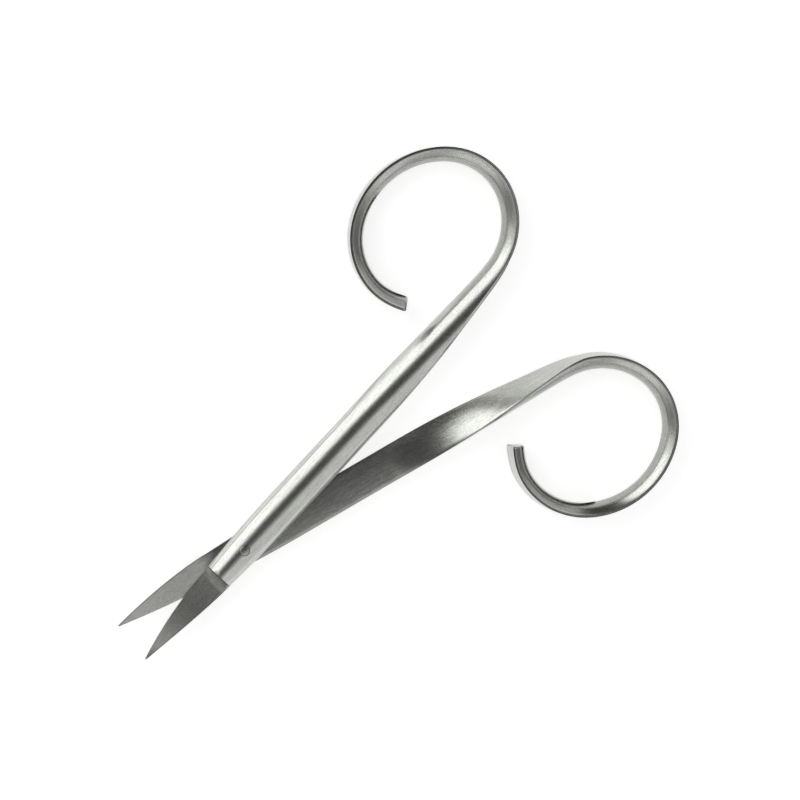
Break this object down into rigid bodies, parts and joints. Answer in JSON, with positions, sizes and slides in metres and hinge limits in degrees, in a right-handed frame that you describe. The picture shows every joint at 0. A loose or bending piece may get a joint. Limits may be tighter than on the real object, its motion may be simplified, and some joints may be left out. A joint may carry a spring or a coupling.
{
  "type": "curved nail scissors",
  "caption": "All-metal nail scissors: two crossed half-round bars on a flush rivet, with short upturned pointed blades and open curled finger rings.",
  "frame": {"origin": "centre of the rivet's lower end, level with the round underside of the rear shank", "axes": "+X midway between the two shanks, towards the finger rings; +Z along the pivot, out of the front half"},
  "size_m": [0.0878, 0.0642, 0.0065],
  "materials": {
    "satin_steel": "fine satin, brushed along the bar",
    "rivet_steel": "fine satin"
  },
  "bodies": {
    "rear": {"rear_half": "satin_steel", "pivot_rivet": "rivet_steel"},
    "front": {"front_half": "satin_steel"}
  },
  "joints": [
    {"name": "pivot", "type": "hinge", "parent": "rear", "child": "front", "pos_m": [0, 0, 0.0023], "axis": [0, 0, 1], "range_deg": [-17.13, 125]}
  ]
}
